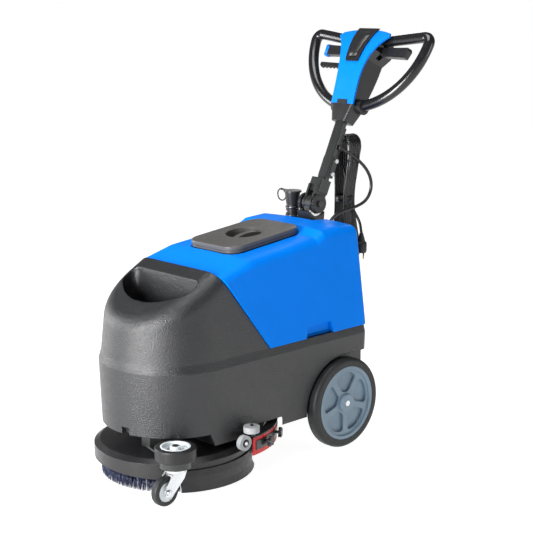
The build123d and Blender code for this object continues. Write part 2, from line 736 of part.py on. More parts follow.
def squeegee_body():
    body = sq_band(SQ_R - 4, SQ_R - 18, SQ_LOW_Z + 16, SQ_TOP_Z - 4)
    body += sq_band(SQ_R + 2, SQ_R - 24, SQ_TOP_Z - 4, SQ_TOP_Z)
    # Suction mouth between the blades and the spigot above it.
    middle = SQ_R - 11
    body += rod(20, (0, SQ_Y + middle, SQ_TOP_Z - 4), (0, 0, 1), 14)
    body -= rod(17, (0, SQ_Y + middle, SQ_TOP_Z - 4), (0, 0, 1), 20)
    body -= block((-20, 20), (SQ_Y + middle - 5, SQ_Y + middle + 5), (SQ_LOW_Z, SQ_TOP_Z))
    for x in (-ROD_X, ROD_X):
        body += rod(10, (x, ROD_Y, SQ_TOP_Z - 4), (0, 0, 1), 10)
        body -= rod(ROD_R + RUN, (x, ROD_Y, 0), (0, 0, 1), 300)
    # End brackets that carry the side rollers.
    plate_x = (GUIDE_X - 10, GUIDE_X + 6)
    for side in both_sides(
        block(plate_x, (FLAT_Y - 7, FLAT_Y + 10), (SQ_TOP_Z, SQ_TOP_Z + 4))
        + block((GUIDE_X - 10, GUIDE_X - 6), (EDGE_Y - 8, FLAT_Y), (EDGE_Z - 6, SQ_TOP_Z + 4))
        + rod(4, (GUIDE_X, FLAT_Y, SQ_TOP_Z + 4), (0, 0, 1), 28)
        + rod(4, (GUIDE_X - 6, EDGE_Y, EDGE_Z), (1, 0, 0), 18)
    ):
        body += side
    return body


def squeegee_front_blade():
    return sq_band(SQ_R - 18, SQ_R - 21, SQ_LOW_Z, SQ_TOP_Z - 4, 2)


def squeegee_rear_blade():
    return sq_band(SQ_R, SQ_R - 4, SQ_LOW_Z, SQ_TOP_Z - 4)


def squeegee_strap():
    return sq_band(SQ_R + 2, SQ_R, SQ_LOW_Z + 13, SQ_TOP_Z - 14, 2.5)


def star_knob(angle):
    """Five-lobed knob on the strap, its screw along the radius."""
    a = radians(angle)
    out = Vector(cos(a), sin(a), 0)
    foot = Vector(0, SQ_Y, (SQ_LOW_Z + SQ_TOP_Z) / 2) + out * (SQ_R + 2)
    plane = Plane(origin=foot, x_dir=(0, 0, 1), z_dir=out)
    knob = plane * Cylinder(4, 8, align=(Align.CENTER, Align.CENTER, Align.MIN))
    star = Circle(9.5)
    for k in range(5):
        star += Rot(0, 0, 72 * k) * Pos(10, 0) * Circle(4.2)
    return knob + extrude(plane * Pos(0, 0, 7) * star, amount=9)


KNOB_ANGLES = (17, 35, 145, 163)


def guide_roller_flat():
    """Roller that turns about the vertical, at the +X end."""
    start = (GUIDE_X, FLAT_Y, SQ_TOP_Z + 11)
    return ring(GUIDE_R, 4 + RUN, start, (0, 0, 1), 16)


def guide_roller_edge():
    """Roller that turns about X, at the +X end."""
    start = (GUIDE_X - 4.5, EDGE_Y, EDGE_Z)
    return ring(GUIDE_R - 1, 4 + RUN, start, (1, 0, 0), 14)


def lift_rods():
    """Guide rods under the chassis plate that the squeegee slides down."""
    foot = SQ_LOW_Z - SQ_DROP + 28
    length = PLATE_Z + PLATE_T - foot
    rods = [rod(ROD_R, (x, ROD_Y, foot), (0, 0, 1), length) for x in (-ROD_X, ROD_X)]
    return Compound(children=rods)


# ---- handle post and hinge ----------------------------------------------------------------
def hinge_rod(radius, x_low, x_high):
    return rod(radius, (x_low, HINGE_Y, HINGE_Z), (1, 0, 0), x_high - x_low)


def handle_post():
    """Cast post from the chassis to the hinge, with a cradle under the toothed discs."""
    y0, y1 = POST_Y
    top = HINGE_Z - 20
    foot = PLATE_Z + PLATE_T
    post = side_prism(
        [(y0, foot), (y0, 585), (y0 - 9, top), (y1 + 6, top), (y1, 585), (y1, foot)],
        -POST_HALF_W,
        POST_HALF_W,
    )
    post -= hinge_rod(HINGE_DISC_R + 9, -60, -9.5)
    post -= hinge_rod(HINGE_DISC_R + 9, 9.5, 60)
    lug = hinge_rod(HINGE_DISC_R - 4, -9.5, 9.5)
    lug += block((-9.5, 9.5), (HINGE_Y - 22, HINGE_Y + 22), (top - 24, HINGE_Z))
    post = post + lug
    return post - hinge_rod(PIN_R + RUN, -60, 60)


def toothed_sector(x_low):
    """Chromed rack that the tilt catch rests in, under one toothed disc."""
    outer, inner, width = HINGE_DISC_R + 9, HINGE_DISC_R + 4, 8.0
    sector = ring(outer, inner, (x_low, HINGE_Y, HINGE_Z), (1, 0, 0), width)
    keep = side_prism(
        [
            (HINGE_Y, HINGE_Z),
            (HINGE_Y - 60, HINGE_Z - 34),
            (HINGE_Y - 60, HINGE_Z - 90),
            (HINGE_Y + 60, HINGE_Z - 90),
            (HINGE_Y + 60, HINGE_Z - 34),
        ],
        x_low - 1,
        x_low + width + 1,
    )
    sector &= keep
    for k in range(9):
        a = radians(-146 + 14 * k)
        tip = (x_low, HINGE_Y + inner * cos(a), HINGE_Z + inner * sin(a))
        sector += rod(3.0, tip, (1, 0, 0), width)
    return sector


def hinge_bolt():
    return hinge_rod(PIN_R, -32, 32) + hinge_rod(9, 32, 37) + hinge_rod(9, -37, -32)


def local_prism(points, q_low, q_high):
    """Outline in the handle's (x, along) plane, carried from q_low to q_high backwards."""
    face = make_face(Polyline(*[(x, q_low, s) for x, s in points], close=True))
    return extrude(face, amount=q_high - q_low, dir=(0, 1, 0))


def handle_fork():
    """Two cheeks round the post's lug and the socket that takes the column."""
    fork = Part()
    for x in (10.0, -17.0):
        fork += Pos(x, 0, 0) * Rot(0, 90, 0) * Cylinder(
            HINGE_DISC_R - 3, 7, align=(Align.CENTER, Align.CENTER, Align.MIN)
        )
        fork += block((x, x + 7), (-20, TUBE_BACK + 14), (0, 52))
    socket = block((-22, 22), (-14, TUBE_BACK + 16), (34, 74))
    socket = fillet(socket.edges().filter_by(Axis.Z), 6)
    fork = fork + socket
    tube_y = (TUBE_BACK - TUBE_D / 2, TUBE_BACK + TUBE_D / 2)
    fork -= block((-TUBE_W / 2, TUBE_W / 2), tube_y, (40, 80))
    fork -= Rot(0, 90, 0) * Cylinder(PIN_R, 100)
    return HANDLE * fork


def toothed_disc(x_low):
    """Round hinge cover with a toothed edge, turning with the column."""
    disc = hinge_rod(HINGE_DISC_R - 1.5, x_low, x_low + 9)
    for k in range(24):
        a = radians(15 * k)
        disc += rod(1.6, (x_low, HINGE_Y + 25.2 * cos(a), HINGE_Z + 25.2 * sin(a)), (1, 0, 0), 9)
    return disc - hinge_rod(PIN_R, -80, 80)


HOOK_S = (95.0, 134.5)  # bolts that hold the cord hook


def column_tube():
    foot = 40.0
    outer = extrude(RectangleRounded(TUBE_W, TUBE_D, 6), amount=COLLAR_S + 30 - foot)
    inner = extrude(RectangleRounded(TUBE_W - 4, TUBE_D - 4, 4), amount=COLLAR_S + 40)
    tube = Pos(0, TUBE_BACK, foot) * outer - Pos(0, TUBE_BACK, foot - 1) * inner
    for s in HOOK_S:
        tube -= Pos(0, TUBE_BACK + 5, s) * Rot(0, 90, 0) * Cylinder(3, 100)
    return HANDLE * tube


def cord_hook():
    """Bent hook on the back of the column that the mains cord hangs from."""
    back = TUBE_BACK + TUBE_D / 2
    hook = block((-15, 15), (back, back + 4), (84, 236))
    hook += block((-15, 15), (back + 4, back + 40), (206, 211))
    hook += block((-15, 15), (back + 36, back + 40), (211, 232))
    hook = fillet(hook.edges().filter_by(Axis.X), 1.5)
    hook += block((-TUBE_W / 2 - 4, TUBE_W / 2 + 4), (TUBE_BACK - 4, back + 4), (84, 145))
    for s in HOOK_S:
        hook -= Pos(0, TUBE_BACK + 5, s) * Rot(0, 90, 0) * Cylinder(3, 100)
    hook -= block((-TUBE_W / 2, TUBE_W / 2), (TUBE_BACK - 12, back), (80, 150))
    return HANDLE * hook


def hook_bolts():
    bolts = []
    for s in HOOK_S:
        pin = Cylinder(3, 2 * (TUBE_W / 2 + 8))
        head = Pos(0, 0, TUBE_W / 2 + 7) * Cylinder(6, 6)
        nut = Pos(0, 0, -TUBE_W / 2 - 6.5) * Cylinder(5, 5)
        bolts.append(HANDLE * Pos(0, TUBE_BACK + 5, s) * Rot(0, 90, 0) * (pin + head + nut))
    return Compound(children=bolts)


# ---- handle head --------------------------------------------------------------------------
def loop_tube():
    """D-shaped loop in the handle's frame; its two grips rise towards their outer ends."""
    centre, end, foot = (0, -GRIP_DIP), (LOOP_R + 3, GRIP_RISE), (0, -LOOP_R)
    far_end = (-end[0], end[1])
    outline = make_face(
        Curve() + [Line(far_end, centre), Line(centre, end), ThreePointArc(end, foot, far_end)]
    )
    corners = outline.vertices()
    outline = fillet([v for v in corners if abs(v.X) > 1], 20)
    outline = fillet([v for v in outline.vertices() if abs(v.X) < 1 and v.Y > -LOOP_R / 2], 60)
    plane = Plane(origin=(0, LOOP_BACK, LOOP_S), x_dir=(1, 0, 0), z_dir=(0, -1, 0))
    path = plane * outline.faces()[0].outer_wire()
    section = Plane(origin=path @ 0, z_dir=path % 0) * Circle(GRIP_R)
    return sweep(section, path=path)


def head_collar():
    low = Pos(0, 18, COLLAR_S) * RectangleRounded(56, 44, 9)
    high = Pos(0, 20, COLLAR_S + 50) * RectangleRounded(84, 58, 9)
    collar = loft([low, high], ruled=True)
    collar += Pos(0, LOOP_BACK, LOOP_S - LOOP_R + 2) * Rot(0, 90, 0) * Cylinder(GRIP_R + 6, 112)
    collar -= loop_tube()
    tube_y = (TUBE_BACK - TUBE_D / 2, TUBE_BACK + TUBE_D / 2)
    collar -= block((-TUBE_W / 2, TUBE_W / 2), tube_y, (200, COLLAR_S + 30))
    return HANDLE * collar


def handle_loop():
    return HANDLE * loop_tube()


# Front and rear lines of the head in the (back, along) plane.
COVER_T = 6.0
PANEL_T = 5.0
HEAD_LOW_S = COLLAR_S + 50
FRONT_LINE = [(-9.0, HEAD_LOW_S), (-17.0, 360.0), (-21.0, 424.0), (-12.0, 487.0), (14.0, 542.0)]
REAR_LINE = [(46.0, HEAD_LOW_S), (58.0, 360.0), (66.0, 424.0), (62.0, 487.0), (34.0, 542.0)]


def profile_band(front_line, front_shift, back_line, back_shift, half_w):
    """Solid between two lines of the head's side view, half_w to each side."""
    front = [(-half_w, q + front_shift, s) for q, s in front_line]
    back = [(-half_w, q + back_shift, s) for q, s in back_line]
    ends = [Line(front[-1], back[-1]), Line(back[0], front[0])]
    face = make_face(Curve() + [Spline(*front), Spline(*back)] + ends)
    return extrude(face, amount=2 * half_w, dir=(1, 0, 0))


def head_cover():
    edge = [(42, HEAD_LOW_S), (42, 352), (49, 420), (67, 470), (96, 508)]
    right = [(x, -40, s) for x, s in edge]
    left = [(-x, -40, s) for x, s in edge]
    face = make_face(
        Curve()
        + [
            Spline(*right),
            Line(right[-1], (88, -40, 521)),
            ThreePointArc((88, -40, 521), (0, -40, 534), (-88, -40, 521)),
            Line((-88, -40, 521), left[-1]),
            Spline(*left),
            Line(left[0], right[0]),
        ]
    )
    outline = extrude(face, amount=100, dir=(0, 1, 0))
    band = profile_band(FRONT_LINE, 0, FRONT_LINE, COVER_T, 110)
    cover = outline & band
    cover -= block((-19, 19), (-60, 60), (HEAD_LOW_S - 5, HEAD_LOW_S + 12))
    return HANDLE * cover


def head_panel():
    half = [(23, 424), (27, 452), (38, 537)]
    outline = local_prism(half + [(-x, s) for x, s in reversed(half)], -60, 60)
    band = profile_band(FRONT_LINE, -PANEL_T, FRONT_LINE, 0, 60)
    return HANDLE * (outline & band)


TRIGGER_X = 57.0
TRIGGER_S = 474.0
LEVER_X = -52.0
LEVER_S = 424.0


def head_housing():
    """Rear shell of the head, with slots for the triggers and the lever."""
    half = [(36, HEAD_LOW_S), (38, 440), (64, 466), (66, 508), (58, 528)]
    outline = local_prism(half + [(-x, s) for x, s in reversed(half)], -60, 120)
    shell = outline & profile_band(FRONT_LINE, COVER_T, REAR_LINE, 0, 80)
    shell += block((-60, -34), (18, 40), (418, 442))
    shell -= block((-28, 28), (8, 46), (330, 486))
    for x in (TRIGGER_X, -TRIGGER_X):
        shell -= block((x - 13, x + 13), (LOOP_BACK - 9.5, LOOP_BACK + 9.5), (450, 502))
        shell -= Pos(x, LOOP_BACK, TRIGGER_S) * Rot(90, 0, 0) * Cylinder(2.5, 36)
    shell -= block((LEVER_X - 10, LEVER_X + 13), (LOOP_BACK - 5.5, LOOP_BACK + 5.5), (414, 446))
    shell -= Pos(LEVER_X, LOOP_BACK, LEVER_S) * Rot(90, 0, 0) * Cylinder(2.5, 60)
    shell -= loop_tube()
    shell -= Pos(0, LOOP_BACK, LOOP_S - LOOP_R + 2) * Rot(0, 90, 0) * Cylinder(GRIP_R + 6, 112)
    return HANDLE * shell


def collar_tab():
    """Tongue of the collar that fills the notch at the foot of the cover."""
    tongue = block((-18.5, 18.5), (-60, 60), (HEAD_LOW_S, HEAD_LOW_S + 11.5))
    return HANDLE * (tongue & profile_band(FRONT_LINE, -1, FRONT_LINE, COVER_T, 60))


def trigger():
    """Squeeze trigger under the +X grip."""
    low, high = TRIGGER_S - 16, TRIGGER_S + 10
    outline = [(TRIGGER_X - 8, TRIGGER_S - 8), (68, low), (152, low - 2), (160, low + 20)]
    outline += [(156, high + 3), (70, high), (TRIGGER_X - 8, high - 3)]
    plate = local_prism(outline, LOOP_BACK - 9, LOOP_BACK + 9)
    plate = fillet(plate.edges().filter_by(Axis.Y), 2.5)
    plate -= Pos(TRIGGER_X, LOOP_BACK, TRIGGER_S) * Rot(90, 0, 0) * Cylinder(2.5 + RUN, 60)
    return HANDLE * plate


def adjuster_lever():
    """Toothed finger lever of the tilt catch, on the -X side."""
    top, low, teeth = LEVER_S + 8, LEVER_S - 3, 6
    outline = [(LEVER_X - 3, LEVER_S - 7), (LEVER_X + 7, LEVER_S - 3), (LEVER_X + 5, top)]
    outline += [(LEVER_X - 112, top + 2), (LEVER_X - 114, top - 6)]
    pitch = 88.0 / teeth
    for k in range(teeth):
        start = LEVER_X - 112 + k * pitch
        outline += [(start + 1, low + 1), (start + pitch / 2, low - 3.5), (start + pitch - 1, low + 1)]
    lever = local_prism(outline, LOOP_BACK - 5, LOOP_BACK + 5)
    lever -= Pos(LEVER_X, LOOP_BACK, LEVER_S) * Rot(90, 0, 0) * Cylinder(2.5 + RUN, 60)
    return HANDLE * lever


def head_pins():
    """Pivot pins of both triggers and of the lever."""
    pins = [
        HANDLE * Pos(x, LOOP_BACK, TRIGGER_S) * Rot(90, 0, 0) * Cylinder(2.5, 36)
        for x in (TRIGGER_X, -TRIGGER_X)
    ]
    pins.append(HANDLE * Pos(LEVER_X, LOOP_BACK + 1, LEVER_S) * Rot(90, 0, 0) * Cylinder(2.5, 22))
    return Compound(children=pins)


# ---- cords --------------------------------------------------------------------------------
def cord_tube(name, points, diameter):
    """Round tube along straight runs and tangent arcs; prints its length and radii."""
    points = [Vector(*p) for p in points]
    runs = [(b - a) for a, b in zip(points, points[1:])]
    radii = []
    for a, b in zip(runs, runs[1:]):
        half_turn = radians(a.get_angle(b)) / 2
        radii.append(0.45 * min(a.length, b.length) / tan(half_turn))
    path = FilletPolyline(*points, radius=radii)
    section = Plane(origin=path @ 0, z_dir=path % 0) * Circle(diameter / 2)
    tube = sweep(section, path=path)
    print(name, "length", round(path.length), "radii", [round(r) for r in radii])
    return tube


# The lead leaves the column's side, loops out behind it and drops behind the tank.
LEAD_ROUTE = [
    (22, HINGE_Y + 107, 801.3),
    (28, HINGE_Y + 124.5, 790),
    (36, HINGE_Y + 150.5, 771),
    (41, HINGE_Y + 178.5, 746),
    (43, HINGE_Y + 198.5, 717),
    (44, HINGE_Y + 203.5, 689),
    (44, HINGE_Y + 194.5, 663),
    (43, HINGE_Y + 174.5, 645),
    (41.5, HINGE_Y + 144.5, 636),
    (40, HINGE_Y + 112.5, 631),
    (38.5, HINGE_Y + 81.5, 627),
    (38, HINGE_Y + 57.5, 620),
    (38, HINGE_Y + 38, 607),
    (38, HINGE_Y + 26, 589),
    (38, HINGE_Y + 21, 570),
]
MAINS_TOP_ROUTE = [
    (-22, HINGE_Y + 125.4, 850.1),
    (-22, HINGE_Y + 116.5, 831),
    (-22, HINGE_Y + 113.5, 808),
    (-20, HINGE_Y + 118, 786),
    (-14, HINGE_Y + 128, 766),
]
MAINS_END_ROUTE = [
    (20, HINGE_Y + 146, 632),
    (30, HINGE_Y + 149, 614),
    (42, HINGE_Y + 151, 597),
    (51, HINGE_Y + 151, 579),
    (55, HINGE_Y + 150, 558),
]
HANK = [
    # height, half width, half depth, distance behind the hinge
    (848, 10, 8, 144),
    (836, 25, 23, 146),
    (800, 28, 30, 142),
    (740, 24, 26, 137),
    (657, 20, 24, 133),
    (566, 30, 31, 144),
    (480, 30, 30, 150),
    (452, 14, 14, 150),
]


def cord_hank():
    sections = [
        Pos(0, HINGE_Y + back, z) * Ellipse(half_w, half_d) for z, half_w, half_d, back in HANK
    ]
    return loft(sections, ruled=True)


def cord_plug():
    x, y, z = MAINS_END_ROUTE[-1]
    boot = Pos(x, y, z - 14) * Cone(14, 6, 28)
    body = rod(17, (x, y, z - 58), (0, 0, 1), 30)
    plug = boot + body
    for dx in (-9.5, 9.5):
        plug += rod(2.4, (x + dx, y, z - 76), (0, 0, 1), 19)
    return plug


def cord_gland():
    """Tapered strain relief under the collar where the mains cord leaves."""
    return HANDLE * Pos(-22, 32, COLLAR_S - 11) * Cone(4.6, 6.5, 22)


def lead_gland():
    """Grommet on the column's side where the lead to the motors leaves."""
    base = HANDLE * block((TUBE_W / 2, TUBE_W / 2 + 10), (14, 27), (169, 183))
    nose = HANDLE * Pos(22, 30, 176) * Rot(90, 0, 0) * Cone(5.2, 6.5, 12)
    return base + nose


# ---- write every piece --------------------------------------------------------------------
def write_body():
    save("solution_tank", solution_tank())
    save("recovery_tank", recovery_tank())
    save("tank_lid", tank_lid())
    save("lid_gasket", lid_gasket())
    save("vacuum_motor", vacuum_motor())
    save("suction_standpipe", suction_standpipe())
    save("drain_hose", drain_hose())
    save("drain_cap", drain_cap())
    save("chassis", chassis())
    save("axle", axle())


def write_wheels():
    for side, piece in (("left", lambda s: s), ("right", mirror_x)):
        save(f"wheel_tyre_{side}", piece(wheel_tyre()))
        save(f"wheel_hub_{side}", piece(wheel_hub()))


def write_deck():
    save("brush_cover", brush_cover())
    save("brush_motor", brush_motor())
    save("brush_shaft", brush_shaft())
    save("brush_disc", brush_disc())
    save("brush_bristles", brush_bristles())
    save("splash_skirt_left", skirt_right())
    save("splash_skirt_right", mirror_x(skirt_right()))


def write_caster():
    save("caster_arm", caster_arm())
    save("bumper_hub", bumper_hub())
    save("bumper_roller", bumper_roller())
    save("caster_fork", caster_fork())
    save("caster_axle", caster_axle())
    save("caster_hub", caster_hub())
    save("caster_tyre", caster_tyre())


def write_squeegee():
    save("squeegee_body", squeegee_body())
    save("squeegee_front_blade", squeegee_front_blade())
    save("squeegee_rear_blade", squeegee_rear_blade())
    save("squeegee_strap", squeegee_strap())
    save("squeegee_knobs", *[star_knob(angle) for angle in KNOB_ANGLES])
    for side, piece in (("left", lambda s: s), ("right", mirror_x)):
        save(f"guide_roller_flat_{side}", piece(guide_roller_flat()))
        save(f"guide_roller_edge_{side}", piece(guide_roller_edge()))
    save("lift_rods", lift_rods())


def write_handle():
    save("handle_post", handle_post())
    save("toothed_racks", toothed_sector(12), toothed_sector(-20))
    save("hinge_bolt", hinge_bolt())
    save("handle_fork", handle_fork())
    save("toothed_discs", toothed_disc(22), toothed_disc(-31))
    save("column_tube", column_tube())
    save("cord_hook", cord_hook())
    save("hook_bolts", hook_bolts())
    save("head_collar", head_collar() + collar_tab())
    save("handle_loop", handle_loop())
    save("head_cover", head_cover())
    save("head_panel", head_panel())
    save("head_housing", head_housing())
    save("trigger_left", trigger())
    save("trigger_right", mirror_x(trigger()))
    save("adjuster_lever", adjuster_lever())
    save("head_pins", head_pins())


def write_cords():
    save("handle_lead", cord_tube("handle lead", LEAD_ROUTE, LEAD_D))
    save(
        "mains_cord",
        cord_tube("mains cord, top", MAINS_TOP_ROUTE, MAINS_D),
        cord_tube("mains cord, end", MAINS_END_ROUTE, MAINS_D),
    )
    save("cord_hank", cord_hank())
    save("cord_plug", cord_plug())
    save("cord_glands", cord_gland(), lead_gland())


write_body()
write_wheels()
write_deck()
write_caster()
write_squeegee()
write_handle()
write_cords()
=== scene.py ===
"""Looks of the floor scrubber: materials, cords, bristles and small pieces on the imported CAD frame.

Metres, +Z up, floor at Z = 0, machine travels towards -Y, operator stands at +Y.
"""

import bmesh
import bpy
import json
from math import cos, pi, radians, sin
from mathutils import Matrix, Vector


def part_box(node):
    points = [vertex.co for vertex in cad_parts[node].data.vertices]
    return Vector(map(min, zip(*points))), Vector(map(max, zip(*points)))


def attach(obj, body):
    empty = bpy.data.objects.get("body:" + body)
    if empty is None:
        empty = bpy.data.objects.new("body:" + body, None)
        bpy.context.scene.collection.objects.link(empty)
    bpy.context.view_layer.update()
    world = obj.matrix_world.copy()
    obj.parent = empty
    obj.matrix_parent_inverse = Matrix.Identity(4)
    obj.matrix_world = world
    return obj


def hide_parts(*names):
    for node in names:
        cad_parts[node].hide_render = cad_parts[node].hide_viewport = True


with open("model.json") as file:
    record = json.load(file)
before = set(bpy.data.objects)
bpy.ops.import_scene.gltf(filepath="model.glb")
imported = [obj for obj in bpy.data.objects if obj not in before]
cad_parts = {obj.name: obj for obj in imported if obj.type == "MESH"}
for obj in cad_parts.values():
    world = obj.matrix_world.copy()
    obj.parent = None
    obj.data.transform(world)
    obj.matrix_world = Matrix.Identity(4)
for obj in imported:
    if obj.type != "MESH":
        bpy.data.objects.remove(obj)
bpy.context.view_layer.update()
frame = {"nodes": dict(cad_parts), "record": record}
NODES = frame["nodes"]

# ---- driving places, read from the frame ----------------------------------------------------
WHEEL_LOW, WHEEL_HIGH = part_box("wheel_tyre_left")
AXLE_Y = (WHEEL_LOW[1] + WHEEL_HIGH[1]) / 2
WHEEL_Z = (WHEEL_LOW[2] + WHEEL_HIGH[2]) / 2
WHEEL_OUT_X = WHEEL_HIGH[0]
BRUSH_LOW, BRUSH_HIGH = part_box("brush_disc")
BRUSH_Y = (BRUSH_LOW[1] + BRUSH_HIGH[1]) / 2
DISC_LOW_Z = BRUSH_LOW[2]
HINGE_LOW, HINGE_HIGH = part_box("hinge_bolt")
HINGE_Y = (HINGE_LOW[1] + HINGE_HIGH[1]) / 2
HINGE_Z = (HINGE_LOW[2] + HINGE_HIGH[2]) / 2
HANDLE_LEAN = radians(25.0)

# ---- cord sizes -----------------------------------------------------------------------------
MAINS_D = 0.008
LEAD_D = 0.0095


def head_point(x, back, along):
    """Place on the tilted handle: sideways, behind the hinge and up the column."""
    y = HINGE_Y + back * cos(HANDLE_LEAN) + along * sin(HANDLE_LEAN)
    z = HINGE_Z - back * sin(HANDLE_LEAN) + along * cos(HANDLE_LEAN)
    return Vector((x, y, z))


# ---- materials ------------------------------------------------------------------------------
def new_material(name, colour, roughness, **sockets):
    """Principled material with its constants on the shader's own sockets."""
    material = bpy.data.materials.new(name)
    material.use_nodes = True
    shader = material.node_tree.nodes["Principled BSDF"]
    shader.inputs["Base Color"].default_value = (*colour, 1)
    shader.inputs["Roughness"].default_value = roughness
    for socket, value in sockets.items():
        shader.inputs[socket.replace("_", " ")].default_value = value
    return material, shader


def object_noise(tree, scale, detail=3.0, stretch=(1, 1, 1)):
    """Noise that stays with the object's own coordinates."""
    place = tree.nodes.new("ShaderNodeTexCoord")
    mapping = tree.nodes.new("ShaderNodeMapping")
    mapping.inputs["Scale"].default_value = stretch
    noise = tree.nodes.new("ShaderNodeTexNoise")
    noise.inputs["Scale"].default_value = scale
    noise.inputs["Detail"].default_value = detail
    tree.links.new(place.outputs["Object"], mapping.inputs["Vector"])
    tree.links.new(mapping.outputs["Vector"], noise.inputs["Vector"])
    return noise


def mottle(material, shader, colour, spread, scale):
    """Slow drift of the base colour between a darker and a lighter tone."""
    tree = material.node_tree
    noise = object_noise(tree, scale, 4.0)
    ramp = tree.nodes.new("ShaderNodeValToRGB")
    ramp.color_ramp.elements[0].position = 0.3
    ramp.color_ramp.elements[1].position = 0.7
    ramp.color_ramp.elements[0].color = (*(c * (1 - spread) for c in colour), 1)
    ramp.color_ramp.elements[1].color = (*(min(1, c * (1 + spread)) for c in colour), 1)
    tree.links.new(noise.outputs["Fac"], ramp.inputs["Fac"])
    tree.links.new(ramp.outputs["Color"], shader.inputs["Base Color"])


def vary_roughness(material, shader, low, high, scale, stretch=(1, 1, 1)):
    """Uneven gloss between two roughness values."""
    tree = material.node_tree
    noise = object_noise(tree, scale, 5.0, stretch)
    spread = tree.nodes.new("ShaderNodeMapRange")
    spread.inputs["From Min"].default_value = 0.3
    spread.inputs["From Max"].default_value = 0.7
    spread.inputs["To Min"].default_value = low
    spread.inputs["To Max"].default_value = high
    tree.links.new(noise.outputs["Fac"], spread.inputs["Value"])
    tree.links.new(spread.outputs["Result"], shader.inputs["Roughness"])


def grain(material, shader, scale, height, edge, stretch=(1, 1, 1)):
    """Fine surface relief, with the edges of the form softened by a small radius."""
    tree = material.node_tree
    noise = object_noise(tree, scale, 2.0, stretch)
    bump = tree.nodes.new("ShaderNodeBump")
    bump.inputs["Strength"].default_value = 1.0
    bump.inputs["Distance"].default_value = height
    tree.links.new(noise.outputs["Fac"], bump.inputs["Height"])
    if edge:
        rounded = tree.nodes.new("ShaderNodeBevel")
        rounded.samples = 4
        rounded.inputs["Radius"].default_value = edge
        tree.links.new(rounded.outputs["Normal"], bump.inputs["Normal"])
    tree.links.new(bump.outputs["Normal"], shader.inputs["Normal"])


def moulded(name, colour, roughness, grain_size, grain_height, edge, spread=0.12, **sockets):
    """Moulded plastic: drifting tone, uneven sheen and a pressed grain."""
    material, shader = new_material(name, colour, roughness, **sockets)
    mottle(material, shader, colour, spread, 9.0)
    vary_roughness(material, shader, roughness - 0.05, roughness + 0.06, 60.0)
    grain(material, shader, 1 / grain_size, grain_height, edge)
    return material


def rubber(name, colour, roughness=0.62, edge=0.001):
    """Matt rubber with a fine grain."""
    material, shader = new_material(name, colour, roughness, Specular_IOR_Level=0.4)
    mottle(material, shader, colour, 0.25, 35.0)
    vary_roughness(material, shader, roughness - 0.08, roughness + 0.1, 90.0)
    grain(material, shader, 900.0, 0.00012, edge)
    return material


def metal(name, colour, roughness, stretch=(1, 1, 1), edge=0.0006):
    """Plated or bare metal; stretch draws its brush marks out along one axis."""
    material, shader = new_material(name, colour, roughness, Metallic=1.0)
    mottle(material, shader, colour, 0.08, 40.0)
    vary_roughness(material, shader, roughness * 0.7, roughness * 1.4, 120.0, stretch)
    grain(material, shader, 700.0, 0.00004, edge, stretch)
    return material


def coated_steel(name, colour, roughness):
    """Powder-coated steel: fine ripple under a soft gloss."""
    material, shader = new_material(name, colour, roughness, Coat_Weight=0.25, Coat_Roughness=0.3)
    mottle(material, shader, colour, 0.1, 20.0)
    grain(material, shader, 500.0, 0.00008, 0.0012)
    return material


def filament(name, colour):
    """Bristle plastic with a strong random drift in tone."""
    material, shader = new_material(name, colour, 0.38)
    mottle(material, shader, colour, 0.5, 260.0)
    return material


TANK_BLACK = (0.0085, 0.009, 0.0105)
TANK_BLUE = (0.0, 0.180, 0.76)
MATERIALS = {
    "charcoal_tank": moulded(
        "charcoal_tank", TANK_BLACK, 0.36, 0.0028, 0.0015, 0.004, Specular_IOR_Level=0.62
    ),
    "blue_tank": moulded(
        "blue_tank", TANK_BLUE, 0.40, 0.0030, 0.0004, 0.004, 0.04, Specular_IOR_Level=0.05
    ),
    "lid_plastic": moulded("lid_plastic", (0.075, 0.073, 0.069), 0.36, 0.0012, 0.0001, 0.002),
    "black_plastic": moulded("black_plastic", (0.009, 0.009, 0.010), 0.34, 0.0012, 0.0001, 0.0012),
    "gloss_black": moulded("gloss_black", (0.007, 0.007, 0.008), 0.2, 0.004, 0.00005, 0.0015),
    "head_blue": moulded(
        "head_blue", (0.0, 0.155, 0.66), 0.34, 0.003, 0.00006, 0.0015, 0.05, Specular_IOR_Level=0.15
    ),
    "hub_grey": moulded("hub_grey", (0.155, 0.225, 0.290), 0.36, 0.0015, 0.0001, 0.002),
    "roller_grey": moulded("roller_grey", (0.30, 0.31, 0.32), 0.5, 0.0012, 0.0001, 0.0012),
    "white_plastic": moulded("white_plastic", (0.62, 0.66, 0.68), 0.4, 0.0012, 0.0001, 0.001),
    "tyre_rubber": rubber("tyre_rubber", (0.011, 0.012, 0.013), 0.5, 0.0015),
    "black_rubber": rubber("black_rubber", (0.010, 0.010, 0.011), 0.42),
    "red_rubber": rubber("red_rubber", (0.52, 0.02, 0.02), 0.45),
    "cord_rubber": rubber("cord_rubber", (0.012, 0.012, 0.013), 0.3, 0),
    "bristle_navy": filament("bristle_navy", (0.012, 0.018, 0.05)),
    "black_steel": coated_steel("black_steel", (0.013, 0.014, 0.014), 0.3),
    "zinc_steel": metal("zinc_steel", (0.62, 0.64, 0.66), 0.28, (1, 1, 6)),
    "chrome": metal("chrome", (0.78, 0.79, 0.8), 0.12),
    "motor_alu": metal("motor_alu", (0.5, 0.51, 0.52), 0.42),
}
BRASS = metal("plug_brass", (0.72, 0.52, 0.2), 0.25)
CLAMP = metal("hose_clamp_dark", (0.10, 0.10, 0.11), 0.3)


def dress_frame():
    """Every CAD node takes its record slot's material."""
    for part in frame["record"]["subparts"]:
        node = NODES[part["node"]]
        if not node.material_slots:
            node.data.materials.append(None)
        for place in node.material_slots:
            place.material = MATERIALS[part["material_slot"]]


